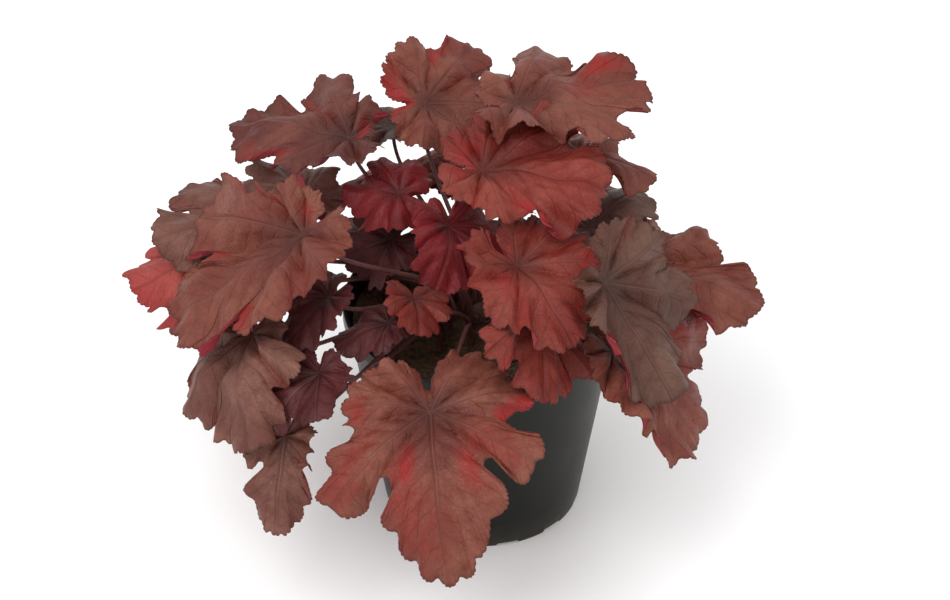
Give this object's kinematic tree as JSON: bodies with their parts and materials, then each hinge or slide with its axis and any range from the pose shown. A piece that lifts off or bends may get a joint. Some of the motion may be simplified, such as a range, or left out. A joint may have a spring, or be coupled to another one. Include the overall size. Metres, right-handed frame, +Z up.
{
  "type": "potted heuchera plant",
  "caption": "Potted heuchera: a mound of lobed, scalloped red-brown leaves on thin stalks that rise from a crown in soil, in a plain tapered nursery pot.",
  "frame": {"origin": "centre of the pot's flat base, on the surface that the pot stands on", "axes": "+Z up along the pot's axis, -Y towards the front leaf, +X to the right of someone who faces the front leaf"},
  "size_m": [0.3796, 0.3587, 0.2646],
  "materials": {
    "pot": "satin",
    "soil": "matte",
    "crown": "matte",
    "leaf_brown": "satin",
    "leaf_red": "satin",
    "leaf_dark": "satin",
    "leaf_olive": "satin"
  },
  "bodies": {
    "root": {"pot": "pot", "soil": "soil", "crown": "crown", "leaf_front": "leaf_brown", "leaf_left": "leaf_brown", "leaf_far_left": "leaf_red", "leaf_left_back": "leaf_brown", "leaf_top_left": "leaf_brown", "leaf_top": "leaf_brown", "leaf_top_right": "leaf_brown", "leaf_upper": "leaf_red", "leaf_right_front": "leaf_red", "leaf_right": "leaf_olive", "leaf_far_right": "leaf_brown", "leaf_low_right": "leaf_brown", "leaf_middle_red": "leaf_red", "leaf_middle": "leaf_red", "leaf_young": "leaf_red", "leaf_front_right": "leaf_red", "leaf_low_left": "leaf_brown", "leaf_under_left": "leaf_dark", "leaf_hanging": "leaf_brown", "leaf_dark_left": "leaf_dark", "leaf_small_left": "leaf_dark", "leaf_shade": "leaf_dark", "leaf_pointed": "leaf_brown", "leaf_left_fold": "leaf_brown", "leaf_right_back": "leaf_olive", "leaf_left_olive": "leaf_olive", "leaf_back": "leaf_brown", "leaf_back_top": "leaf_olive", "leaf_back_left": "leaf_brown", "leaf_back_right": "leaf_brown", "leaf_low_back": "leaf_brown", "leaf_left_gap": "leaf_dark"}
  },
  "joints": []
}
